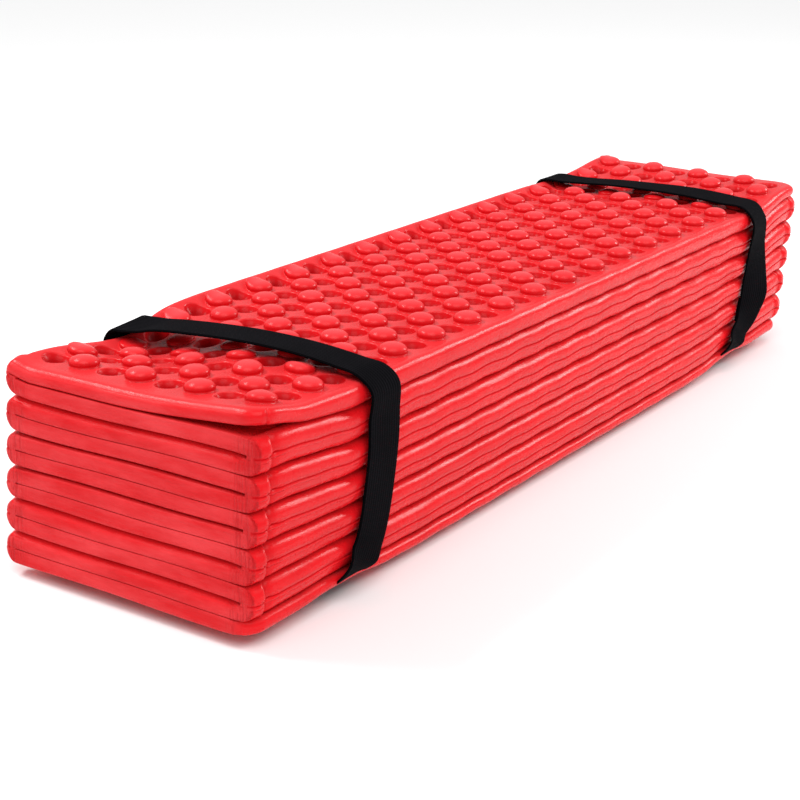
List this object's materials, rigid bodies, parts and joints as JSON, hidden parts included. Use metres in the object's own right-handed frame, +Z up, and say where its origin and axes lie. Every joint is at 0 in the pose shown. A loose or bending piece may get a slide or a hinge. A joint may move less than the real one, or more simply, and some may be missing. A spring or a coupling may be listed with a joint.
{
  "type": "folding foam mat",
  "caption": "Zigzag-folding closed-cell foam mat with an egg-crate surface, packed into a block and held by two elastic strap loops that slide off its ends.",
  "frame": {"origin": "on the ground under the middle of the folded stack", "axes": "+X along the fold lines, towards the right-hand strap; +Y across the panels, towards the back; +Z up through the stack"},
  "size_m": [0.6, 0.1596, 0.1175],
  "materials": {
    "foam": "satin",
    "webbing": "matte",
    "thread": "satin"
  },
  "bodies": {
    "panel_01": {"panel_01": "foam", "fold_web_01": "foam"},
    "panel_02": {"panel_02": "foam", "fold_web_02": "foam"},
    "panel_03": {"panel_03": "foam", "fold_web_03": "foam"},
    "panel_04": {"panel_04": "foam", "fold_web_04": "foam"},
    "panel_05": {"panel_05": "foam", "fold_web_05": "foam"},
    "panel_06": {"panel_06": "foam", "fold_web_06": "foam"},
    "panel_07": {"panel_07": "foam", "fold_web_07": "foam"},
    "panel_08": {"panel_08": "foam", "fold_web_08": "foam"},
    "panel_09": {"panel_09": "foam", "fold_web_09": "foam"},
    "panel_10": {"panel_10": "foam", "fold_web_10": "foam"},
    "panel_11": {"panel_11": "foam", "fold_web_11": "foam"},
    "panel_12": {"panel_12": "foam"},
    "strap_left": {"strap_left_webbing": "webbing", "strap_left_stitching": "thread"},
    "strap_right": {"strap_right_webbing": "webbing", "strap_right_stitching": "thread"}
  },
  "joints": [
    {"name": "fold_01", "type": "hinge", "parent": "panel_01", "child": "panel_02", "pos_m": [0, 0.077, 0.0139], "axis": [-1, 0, 0], "range_deg": [0, 179.9], "deforming": ["fold_web_01"]},
    {"name": "fold_02", "type": "hinge", "parent": "panel_02", "child": "panel_03", "pos_m": [0, -0.0725, 0.0227], "axis": [1, 0, 0], "range_deg": [0, 179.9], "deforming": ["fold_web_02"]},
    {"name": "fold_03", "type": "hinge", "parent": "panel_03", "child": "panel_04", "pos_m": [0, 0.076, 0.0315], "axis": [-1, 0, 0], "range_deg": [0, 179.9], "deforming": ["fold_web_03"]},
    {"name": "fold_04", "type": "hinge", "parent": "panel_04", "child": "panel_05", "pos_m": [0, -0.0735, 0.0403], "axis": [1, 0, 0], "range_deg": [0, 179.9], "deforming": ["fold_web_04"]},
    {"name": "fold_05", "type": "hinge", "parent": "panel_05", "child": "panel_06", "pos_m": [0, 0.075, 0.0491], "axis": [-1, 0, 0], "range_deg": [0, 179.9], "deforming": ["fold_web_05"]},
    {"name": "fold_06", "type": "hinge", "parent": "panel_06", "child": "panel_07", "pos_m": [0, -0.0745, 0.0579], "axis": [1, 0, 0], "range_deg": [0, 179.9], "deforming": ["fold_web_06"]},
    {"name": "fold_07", "type": "hinge", "parent": "panel_07", "child": "panel_08", "pos_m": [0, 0.074, 0.0667], "axis": [-1, 0, 0], "range_deg": [0, 179.9], "deforming": ["fold_web_07"]},
    {"name": "fold_08", "type": "hinge", "parent": "panel_08", "child": "panel_09", "pos_m": [0, -0.0755, 0.0755], "axis": [1, 0, 0], "range_deg": [0, 179.9], "deforming": ["fold_web_08"]},
    {"name": "fold_09", "type": "hinge", "parent": "panel_09", "child": "panel_10", "pos_m": [0, 0.073, 0.0843], "axis": [-1, 0, 0], "range_deg": [0, 179.9], "deforming": ["fold_web_09"]},
    {"name": "fold_10", "type": "hinge", "parent": "panel_10", "child": "panel_11", "pos_m": [0, -0.0765, 0.0931], "axis": [1, 0, 0], "range_deg": [0, 179.9], "deforming": ["fold_web_10"]},
    {"name": "fold_11", "type": "hinge", "parent": "panel_11", "child": "panel_12", "pos_m": [0, 0.072, 0.1019], "axis": [-1, 0, 0], "range_deg": [0, 179.9], "deforming": ["fold_web_11"]},
    {"name": "strap_left_slide", "type": "slide", "parent": "panel_01", "child": "strap_left", "axis": [-1, 0, 0], "range_m": [0, 0.12], "deforming": ["strap_left_webbing", "strap_left_stitching"]},
    {"name": "strap_right_slide", "type": "slide", "parent": "panel_01", "child": "strap_right", "axis": [1, 0, 0], "range_m": [0, 0.12], "deforming": ["strap_right_webbing", "strap_right_stitching"]}
  ],
  "couplings": [
    {"joint": "fold_02", "follows": "fold_01", "ratio": 1},
    {"joint": "fold_04", "follows": "fold_03", "ratio": 1},
    {"joint": "fold_06", "follows": "fold_05", "ratio": 1},
    {"joint": "fold_08", "follows": "fold_07", "ratio": 1},
    {"joint": "fold_10", "follows": "fold_09", "ratio": 1}
  ]
}
